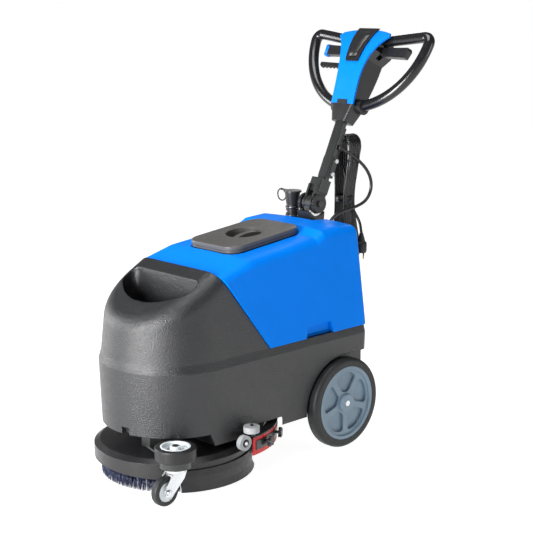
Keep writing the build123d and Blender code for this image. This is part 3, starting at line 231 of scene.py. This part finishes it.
# ---- mesh helpers ---------------------------------------------------------------------------
def finish_piece(name, mesh, material, body, *replaced):
    """Name, colour and hang a new mesh on its body."""
    for face in mesh.faces:
        face.smooth = True
    data = bpy.data.meshes.new(name)
    bmesh.ops.recalc_face_normals(mesh, faces=mesh.faces)
    mesh.to_mesh(data)
    mesh.free()
    piece = bpy.data.objects.new(name, data)
    bpy.context.scene.collection.objects.link(piece)
    piece.data.materials.append(material)
    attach(piece, body)
    if replaced:
        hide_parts(*replaced)
    return piece


def axes_for(direction):
    """Rotation that carries +Z to direction."""
    return Vector((0, 0, 1)).rotation_difference(Vector(direction)).to_matrix()


def add_lathe(mesh, profile, origin, direction, sides=32, lobe=None):
    """Turned form: profile is (radius, height) pairs; lobe(angle) scales the radius."""
    turn = axes_for(direction)
    rings = []
    for radius, height in profile:
        ring = []
        for k in range(sides):
            angle = 2 * pi * k / sides
            reach = radius * (lobe(angle) if lobe else 1)
            local = Vector((reach * cos(angle), reach * sin(angle), height))
            ring.append(mesh.verts.new(Vector(origin) + turn @ local))
        rings.append(ring)
    for low, high in zip(rings, rings[1:]):
        for k in range(sides):
            n = (k + 1) % sides
            mesh.faces.new((low[k], low[n], high[n], high[k]))
    mesh.faces.new(rings[0][::-1])
    mesh.faces.new(rings[-1])


def add_box(mesh, low, high, turn=None, origin=(0, 0, 0), chamfer=0.0):
    """Box with chamfered edges, in its own axes turned about origin."""
    made = bmesh.ops.create_cube(mesh, size=1.0)["verts"]
    low, high = Vector(low), Vector(high)
    for vert in made:
        vert.co = Vector([v * (b - a) + (a + b) / 2 for v, a, b in zip(vert.co, low, high)])
    if chamfer:
        edges = list({edge for vert in made for edge in vert.link_edges})
        cut = bmesh.ops.bevel(mesh, geom=edges, offset=chamfer, segments=2, affect="EDGES")
        made = list({v for f in cut["faces"] for v in f.verts} | {v for v in made if v.is_valid})
    for vert in made:
        vert.co = Vector(origin) + (turn @ vert.co if turn else vert.co)


def hex_head(mesh, radius, height, origin, direction):
    """Hexagon bolt head with a turned chamfer and a washer face under it."""
    def flats(angle):
        step = pi / 3
        return cos(step / 2) / cos((angle % step) - step / 2)

    washer = [(radius * 1.2, 0), (radius * 1.25, height * 0.12), (radius * 1.15, height * 0.2)]
    add_lathe(mesh, [(radius * 0.5, 0), *washer], origin, direction, 24)
    body = [(radius * 0.9, height * 0.2), (radius, height * 0.3), (radius, height * 0.85)]
    top = [(radius * 0.88, height), (radius * 0.3, height * 1.02)]
    add_lathe(mesh, body + top, origin, direction, 24, flats)


def spline_curve(name, points, diameter, material):
    """Round cord on one smooth open spline through the route."""
    data = bpy.data.curves.new(name, "CURVE")
    data.dimensions = "3D"
    data.bevel_depth = diameter / 2
    data.bevel_resolution = 4
    data.resolution_u = 6
    spline = data.splines.new("NURBS")
    spline.points.add(len(points) - 1)
    for point, place in zip(spline.points, points):
        point.co = (*place, 1)
    spline.order_u = 3
    spline.use_endpoint_u = True
    data.use_fill_caps = True
    piece = bpy.data.objects.new(name, data)
    bpy.context.scene.collection.objects.link(piece)
    data.materials.append(material)
    return piece


# ---- cords ----------------------------------------------------------------------------------
MAINS_START = [
    (-0.022, HINGE_Y + 0.1254, 0.8501),
    (-0.022, HINGE_Y + 0.1165, 0.831),
    (-0.022, HINGE_Y + 0.1135, 0.808),
    (-0.020, HINGE_Y + 0.118, 0.786),
    (-0.014, HINGE_Y + 0.128, 0.766),
    (0.004, HINGE_Y + 0.134, 0.735),
]
MAINS_END = [
    (0.020, HINGE_Y + 0.146, 0.632),
    (0.030, HINGE_Y + 0.149, 0.614),
    (0.042, HINGE_Y + 0.151, 0.597),
    (0.051, HINGE_Y + 0.151, 0.579),
    (0.055, HINGE_Y + 0.150, 0.558),
]
LEAD_ROUTE = [
    (0.022, HINGE_Y + 0.107, 0.8013),
    (0.028, HINGE_Y + 0.1245, 0.790),
    (0.036, HINGE_Y + 0.1505, 0.771),
    (0.041, HINGE_Y + 0.1785, 0.746),
    (0.043, HINGE_Y + 0.1985, 0.717),
    (0.044, HINGE_Y + 0.2035, 0.689),
    (0.044, HINGE_Y + 0.1945, 0.663),
    (0.043, HINGE_Y + 0.1745, 0.645),
    (0.0415, HINGE_Y + 0.1445, 0.636),
    (0.040, HINGE_Y + 0.1125, 0.631),
    (0.0385, HINGE_Y + 0.0815, 0.627),
    (0.038, HINGE_Y + 0.0575, 0.620),
    (0.038, HINGE_Y + 0.038, 0.607),
    (0.038, HINGE_Y + 0.026, 0.589),
    (0.038, HINGE_Y + 0.021, 0.570),
]
HANK_TURNS = 12
HANK_ROWS = 6
TIE_Z = 0.657
TIE_HALF_H = 0.009
FOLD_R = 0.0275  # half width of every fold, over three cord diameters
WAIST_PULL = 0.0105  # how far the tie draws each side in
WAIST_REACH = 0.11  # height above and below the tie that it draws in
STRAND_PITCH = 0.0088
PITCH_AT_TIE = 0.0022  # how much closer the strands lie at the tie
HANK_BACK = 0.133  # middle of the waist behind the hinge
HANK_BULGE = 0.017  # further back at its ends
STRAND_WANDER = 0.0016
STRAND_HEIGHTS = (0.775, 0.735, 0.695, 0.657, 0.620, 0.580, 0.540)


def hank_strand(side, row, layer, height):
    """Where a strand of the hank passes a given height."""
    waist = 1 - min(1.0, abs(height - TIE_Z) / WAIST_REACH) ** 2
    wide = FOLD_R - 0.0045 * layer * (1 - waist) - (WAIST_PULL - 0.001 * layer) * waist
    pitch = STRAND_PITCH - PITCH_AT_TIE * waist
    back = HANK_BACK + HANK_BULGE * min(1.0, abs(height - TIE_Z) / 0.19) ** 1.4
    wander = STRAND_WANDER * sin(9 * row + 40 * height + 3 * layer) * (1 - waist)
    middle_row = (HANK_ROWS - 1) / 2
    y = HINGE_Y + back + (row - middle_row + 0.5 * layer) * pitch + wander
    return (side * (wide + wander), y, height)


def hank_fold(row, layer, level, upward):
    """Half circle that carries the cord across the hank: +1 over the top, -1 round the foot."""
    _, y, _ = hank_strand(1, row, layer, level)
    points = []
    for angle in range(0, 181, 30):
        a = radians(angle)
        points.append((-upward * FOLD_R * cos(a), y, level + upward * FOLD_R * sin(a)))
    return points


def hank_turn(turn):
    """One turn: down the +X side, round the foot, up the -X side and over the hook."""
    row, layer = turn % HANK_ROWS, turn // HANK_ROWS
    low = 0.490 + 0.007 * (turn * 5 % 4)
    high = 0.812 - 0.006 * layer
    down = [hank_strand(1, row, layer, z) for z in STRAND_HEIGHTS]
    foot = hank_fold(row, layer, low, -1)
    up = [hank_strand(-1, row, layer, z) for z in STRAND_HEIGHTS[::-1]]
    return down + foot + up + hank_fold(row, layer, high, 1)


def mains_points():
    """The whole mains cord: from its strain relief, round the hank and down to the plug."""
    points = list(MAINS_START)
    for turn in range(HANK_TURNS):
        route = hank_turn(turn)
        points += route[2:] if turn == 0 else route
    last = HANK_TURNS - 1
    row, layer = last % HANK_ROWS, last // HANK_ROWS
    points += [hank_strand(1, row, layer, z) for z in (0.775, 0.735, 0.695, 0.662)]
    return points + MAINS_END


def cord_plug():
    """Moulded plug hanging off the hank, with a ribbed boot and two pins."""
    x, y, z = MAINS_END[-1]
    mesh = bmesh.new()
    boot = []
    for k in range(6):
        top = z - 0.004 * k
        radius = 0.0058 + 0.0011 * k
        boot += [(radius, z - top), (radius, z - top + 0.0026), (radius - 0.0008, z - top + 0.003)]
    boot += [(0.0145, 0.026), (0.0165, 0.031), (0.0165, 0.052), (0.0150, 0.0575), (0.0060, 0.058)]
    add_lathe(mesh, boot, (x, y, z), (0, 0, -1), 36, lambda a: 1 + 0.03 * cos(2 * a))
    body = finish_piece("plug_body", mesh, MATERIALS["black_rubber"], "handle", "cord_plug")
    pins = bmesh.new()
    for dx in (-0.0095, 0.0095):
        pin = [(0.0024, 0), (0.0024, 0.016), (0.0019, 0.0183), (0.0008, 0.019)]
        add_lathe(pins, pin, (x + dx, y, z - 0.0575), (0, 0, -1), 16)
    return [body, finish_piece("plug_pins", pins, BRASS, "handle")]


def ribbed_boot(mesh, start, direction, length, thick, thin):
    """Tapered strain relief with rings cut round it."""
    profile = [(thick, 0)]
    ribs = 6
    for k in range(ribs):
        share = k / ribs
        radius = thick + (thin - thick) * share
        profile.append((radius, length * (share + 0.02)))
        profile.append((radius, length * (share + 0.1)))
        profile.append((radius - 0.0009, length * (share + 0.12)))
    profile.append((thin, length))
    add_lathe(mesh, profile, start, direction, 24)


MAINS_GLAND = (-0.022, 0.032, 0.249)  # places in the tilted handle's own axes
LEAD_GLAND = (0.022, 0.020, 0.176)


def cord_glands():
    """Ribbed strain reliefs where the mains cord and the motors' lead leave the handle."""
    mesh = bmesh.new()
    down = -(head_point(0, 0, 1) - head_point(0, 0, 0))
    ribbed_boot(mesh, head_point(*MAINS_GLAND), down, 0.022, 0.0068, 0.0048)
    back = head_point(0, 1, 0) - head_point(0, 0, 0)
    ribbed_boot(mesh, head_point(0.022, 0.016, 0.176), back, 0.022, 0.0072, 0.0054)
    add_box(
        mesh,
        (-0.005, -0.007, -0.007),
        (0.005, 0.006, 0.007),
        axes_for(down),
        head_point(*LEAD_GLAND),
        0.0015,
    )
    return finish_piece("gland_boots", mesh, MATERIALS["black_rubber"], "handle", "cord_glands")


def hank_tie():
    """Woven hook-and-loop tie round the waist of the hank, its tail folded over."""
    mesh = bmesh.new()
    sides, thick = 48, 0.0016
    edge = TIE_HALF_H
    rings = []
    for grow, height in ((0, -edge), (thick, -edge), (thick, edge), (0, edge)):
        ring = []
        for k in range(sides):
            a = 2 * pi * k / sides
            x = (0.0215 + grow) * cos(a)
            y = HINGE_Y + 0.1335 + (0.0245 + grow) * sin(a)
            ring.append(mesh.verts.new((x, y, TIE_Z + height + 0.0008 * sin(3 * a))))
        rings.append(ring)
    for low, high in zip(rings, rings[1:] + rings[:1]):
        for k in range(sides):
            n = (k + 1) % sides
            mesh.faces.new((low[k], low[n], high[n], high[k]))
    tail_turn = Matrix.Rotation(radians(12), 3, "Y")
    tail_place = (0.0232, HINGE_Y + 0.1335, TIE_Z - 0.004)
    add_box(mesh, (-0.001, -0.008, -0.030), (0.001, 0.008, 0.004), tail_turn, tail_place, 0.0004)
    return finish_piece("hank_tie", mesh, MATERIALS["black_plastic"], "handle")


def lay_cords():
    """Lays both cords, with the pieces that sit on them."""
    boots = cord_glands()
    plug = cord_plug()
    tie = hank_tie()
    points = mains_points()
    mains = spline_curve("mains_cable", points, MAINS_D, MATERIALS["cord_rubber"])
    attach(mains, "handle")
    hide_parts("mains_cord", "cord_hank")
    lead = spline_curve("motor_lead", LEAD_ROUTE, LEAD_D, MATERIALS["cord_rubber"])
    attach(lead, "handle")
    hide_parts("handle_lead")


# ---- brush ----------------------------------------------------------------------------------
TUFT_RINGS = 9
TUFT_RING_R = (0.088, 0.183)  # innermost and outermost ring
TUFT_PITCH = 0.0125
GOLDEN_TURN = 2.39996


def bristles():
    """Tufts of tapered filaments set in rings under the disc, splaying towards the floor."""
    mesh = bmesh.new()
    low_z, top_z = 0.0035, DISC_LOW_Z + 0.0005
    inner, outer = TUFT_RING_R
    for ring in range(TUFT_RINGS):
        radius = inner + (outer - inner) * ring / (TUFT_RINGS - 1)
        tufts = int(2 * pi * radius / TUFT_PITCH)
        strands = 12 if ring >= TUFT_RINGS - 2 else 7
        for tuft in range(tufts):
            around = 2 * pi * (tuft + 0.5 * (ring % 2)) / tufts
            for strand in range(strands):
                spin = GOLDEN_TURN * strand + tuft
                reach = 0.0031 * (strand / strands) ** 0.5
                root = Vector((reach * cos(spin), reach * sin(spin), 0))
                splay = root * 0.9 + Vector((cos(around), sin(around), 0)) * 0.0018
                centre = Vector((radius * cos(around), BRUSH_Y + radius * sin(around), 0))
                foot_z = low_z + 0.0016 * (0.5 + 0.5 * sin(7 * strand + 3 * tuft))
                add_filament(mesh, centre + root, centre + root + splay, top_z, foot_z)
    return finish_piece("bristle_tufts", mesh, MATERIALS["bristle_navy"], "brush", "brush_bristles")


def add_filament(mesh, root, tip, top_z, low_z):
    """Three-sided bristle from the disc to the floor."""
    corners = []
    for place, z, thick in ((root, top_z, 0.0009), (tip, low_z, 0.0006)):
        ring = []
        for k in range(3):
            a = 2 * pi * k / 3
            ring.append(mesh.verts.new((place.x + thick * cos(a), place.y + thick * sin(a), z)))
        corners.append(ring)
    low, high = corners
    for k in range(3):
        n = (k + 1) % 3
        mesh.faces.new((low[k], low[n], high[n], high[k]))
    mesh.faces.new(low[::-1])
    mesh.faces.new(high)


# ---- small pieces ---------------------------------------------------------------------------
def wheel_details(side, body):
    """Washer and axle nut on the outer face of a wheel."""
    mesh = bmesh.new()
    face = side * (WHEEL_OUT_X + 0.0005)
    washer = [(0.006, -0.004), (0.0135, -0.004), (0.0135, -0.0018), (0.012, -0.001)]
    add_lathe(mesh, washer, (face, AXLE_Y, WHEEL_Z), (side, 0, 0), 32)
    hex_head(mesh, 0.0085, 0.0028, (face - side * 0.001, AXLE_Y, WHEEL_Z), (side, 0, 0))
    return finish_piece(f"axle_nut_{body}", mesh, MATERIALS["zinc_steel"], "machine")


def caster_details():
    """Nut of the caster wheel's axle, and the dished washer and bolt of the bumper roller."""
    low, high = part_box("caster_axle")
    y, z = (low[1] + high[1]) / 2, (low[2] + high[2]) / 2
    mesh = bmesh.new()
    hex_head(mesh, 0.0062, 0.004, (high[0] - 0.0035, y, z), (1, 0, 0))
    finish_piece("caster_nut", mesh, MATERIALS["zinc_steel"], "caster")
    low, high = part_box("bumper_hub")
    x, y = (low[0] + high[0]) / 2, (low[1] + high[1]) / 2
    mesh = bmesh.new()
    plate = [(0.009, -0.0095), (0.0215, -0.0095), (0.0222, -0.0085), (0.0205, -0.0076)]
    add_lathe(mesh, plate + [(0.004, -0.0072)], (x, y, high[2]), (0, 0, 1), 36)
    hex_head(mesh, 0.0085, 0.0075, (x, y, high[2] - 0.0068), (0, 0, 1))
    return finish_piece("bumper_bolt", mesh, MATERIALS["zinc_steel"], "machine")


def roller_bolts():
    """Black bush and bright bolt in each side roller of the squeegee."""
    for side, body in (("left", "roller_edge_left"), ("right", "roller_edge_right")):
        low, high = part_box(f"guide_roller_edge_{side}")
        out = 1 if side == "left" else -1
        face = high[0] if side == "left" else low[0]
        centre = (face, (low[1] + high[1]) / 2, (low[2] + high[2]) / 2)
        bush = bmesh.new()
        add_lathe(bush, [(0.0105, -0.002), (0.0105, 0.0008), (0.006, 0.0015)], centre, (out, 0, 0))
        finish_piece(f"roller_bush_{side}", bush, MATERIALS["black_plastic"], body)
        bolt = bmesh.new()
        hex_head(bolt, 0.0052, 0.0035, centre, (out, 0, 0))
        finish_piece(f"roller_bolt_{side}", bolt, MATERIALS["zinc_steel"], body)


PANEL_LINE = [
    # along the column, behind the hinge line, half width
    (0.437, -0.0272, 0.016),
    (0.455, -0.0248, 0.0175),
    (0.480, -0.0196, 0.021),
    (0.505, -0.0110, 0.025),
    (0.524, -0.0020, 0.0275),
]


def panel_details():
    """Raised face of the black panel, turned down along both long edges."""
    mesh = bmesh.new()
    spans = []
    for along, front, half_w in PANEL_LINE:
        flat = half_w - 0.004
        ring = []
        for x, lift in ((-half_w, 0.0014), (-flat, -0.0016), (flat, -0.0016), (half_w, 0.0014)):
            ring.append(mesh.verts.new(head_point(x, front + lift, along)))
        spans.append(ring)
    for low, high in zip(spans, spans[1:]):
        for k in range(3):
            mesh.faces.new((low[k], low[k + 1], high[k + 1], high[k]))
    plate = finish_piece("panel_face", mesh, MATERIALS["black_plastic"], "handle")
    thicken = plate.modifiers.new("thickness", "SOLIDIFY")
    thicken.thickness = 0.0016
    return plate


def trigger_tip():
    """Blue end of the -X trigger."""
    mesh = bmesh.new()
    turn = axes_for(head_point(0, 0, 1) - head_point(0, 0, 0))
    low, high = (-0.0115, -0.0094, -0.0145), (0.0060, 0.0094, 0.0205)
    add_box(mesh, low, high, turn, head_point(-0.1505, 0.027, 0.4685), 0.003)
    return finish_piece("trigger_tip", mesh, MATERIALS["head_blue"], "trigger_right")


def hose_bands():
    """Two clamp rings round the drain hose, with a screw block on the lower one."""
    hose_low, hose_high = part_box("drain_hose")
    x, y = (hose_low[0] + hose_high[0]) / 2, (hose_low[1] + hose_high[1]) / 2
    upper_z, lower_z = hose_high[2] - 0.046, hose_high[2] - 0.070
    mesh = bmesh.new()
    for z in (upper_z, lower_z):
        band = [(0.016, 0), (0.0198, 0), (0.0204, 0.0015), (0.0204, 0.0045), (0.0198, 0.006)]
        add_lathe(mesh, band + [(0.016, 0.006)], (x, y, z), (0, 0, 1), 36)
    screw_low, screw_high = (0.0185, -0.004, 0), (0.0255, 0.004, 0.006)
    add_box(mesh, screw_low, screw_high, None, (x, y, lower_z), 0.0008)
    return finish_piece("hose_bands", mesh, CLAMP, "tank")


def screws():
    """Small domed screws low and high on the back of the head's housing."""
    mesh = bmesh.new()
    dome = [(0.0033, 0), (0.0033, 0.0006), (0.0026, 0.0014), (0.0010, 0.0018)]
    back = head_point(0, 1, 0) - head_point(0, 0, 0)
    for half_w, behind, along in ((0.024, 0.0565, 0.345), (0.045, 0.0612, 0.492)):
        for side in (-1, 1):
            add_lathe(mesh, dome, head_point(side * half_w, behind, along), back, 16)
    return finish_piece("shell_screws", mesh, MATERIALS["zinc_steel"], "handle")


# ---- stage ----------------------------------------------------------------------------------
def floor():
    """Pale studio floor, wide enough to meet the horizon."""
    data = bpy.data.meshes.new("studio_floor")
    reach = 700.0
    corners = [(-reach, -reach, 0), (reach, -reach, 0), (reach, reach, 0), (-reach, reach, 0)]
    data.from_pydata(corners, [], [(0, 1, 2, 3)])
    piece = bpy.data.objects.new("studio_floor", data)
    bpy.context.scene.collection.objects.link(piece)
    material, shader = new_material("studio_floor", (0.4, 0.4, 0.4), 0.8)
    shader.inputs["Emission Color"].default_value = (1, 1, 1, 1)
    shader.inputs["Emission Strength"].default_value = 0.93
    shader.inputs["Specular IOR Level"].default_value = 0.1
    data.materials.append(material)


def area_light(name, place, target, size, power, size_y=None):
    """Rectangular softbox that faces target."""
    data = bpy.data.lights.new(name, "AREA")
    data.shape = "RECTANGLE"
    data.size = size
    data.size_y = size_y or size
    data.energy = power
    lamp = bpy.data.objects.new(name, data)
    lamp.location = place
    lamp.rotation_euler = (Vector(target) - Vector(place)).to_track_quat("-Z", "Y").to_euler()
    bpy.context.scene.collection.objects.link(lamp)


def lights():
    """A dim room with one large softbox before the nose and smaller ones round the machine."""
    world = bpy.data.worlds.new("studio")
    world.use_nodes = True
    background = world.node_tree.nodes["Background"]
    background.inputs["Color"].default_value = (1, 1, 1, 1)
    background.inputs["Strength"].default_value = 0.16
    bpy.context.scene.world = world
    middle = (0, 0, 0.5)
    area_light("front_softbox", (0.15, -3.0, 0.95), middle, 1.1, 190, 1.6)
    area_light("side_softbox", (3.0, 1.3, 1.1), middle, 0.45, 18, 1.6)
    area_light("top_softbox", (0.1, -0.3, 3.0), middle, 1.4, 48)
    area_light("rear_softbox", (-1.6, 2.4, 1.9), middle, 1.0, 12)
    area_light("left_softbox", (-2.6, -1.2, 0.9), middle, 0.6, 45, 1.5)


CAMERA_AZ = radians(46.362)
CAMERA_EL = radians(12.002)
CAMERA_REACH = 3.562
CAMERA_TARGET = Vector((-0.01718, AXLE_Y - 0.092, 0.492996))


def camera():
    """The photograph's view of the machine, from its front left."""
    data = bpy.data.cameras.new("camera")
    data.sensor_width = 36.0
    data.lens = 86.1
    towards = Vector(
        (sin(CAMERA_AZ) * cos(CAMERA_EL), -cos(CAMERA_AZ) * cos(CAMERA_EL), sin(CAMERA_EL))
    )
    eye = bpy.data.objects.new("camera", data)
    eye.location = CAMERA_TARGET + CAMERA_REACH * towards
    eye.rotation_euler = (-towards).to_track_quat("-Z", "Y").to_euler()
    bpy.context.scene.collection.objects.link(eye)
    bpy.context.scene.camera = eye


camera()
bpy.context.scene.view_settings.view_transform = "Standard"
dress_frame()
lay_cords()
bristles()
wheel_details(1, "left")
wheel_details(-1, "right")
caster_details()
roller_bolts()
panel_details()
trigger_tip()
hose_bands()
screws()
floor()
lights()
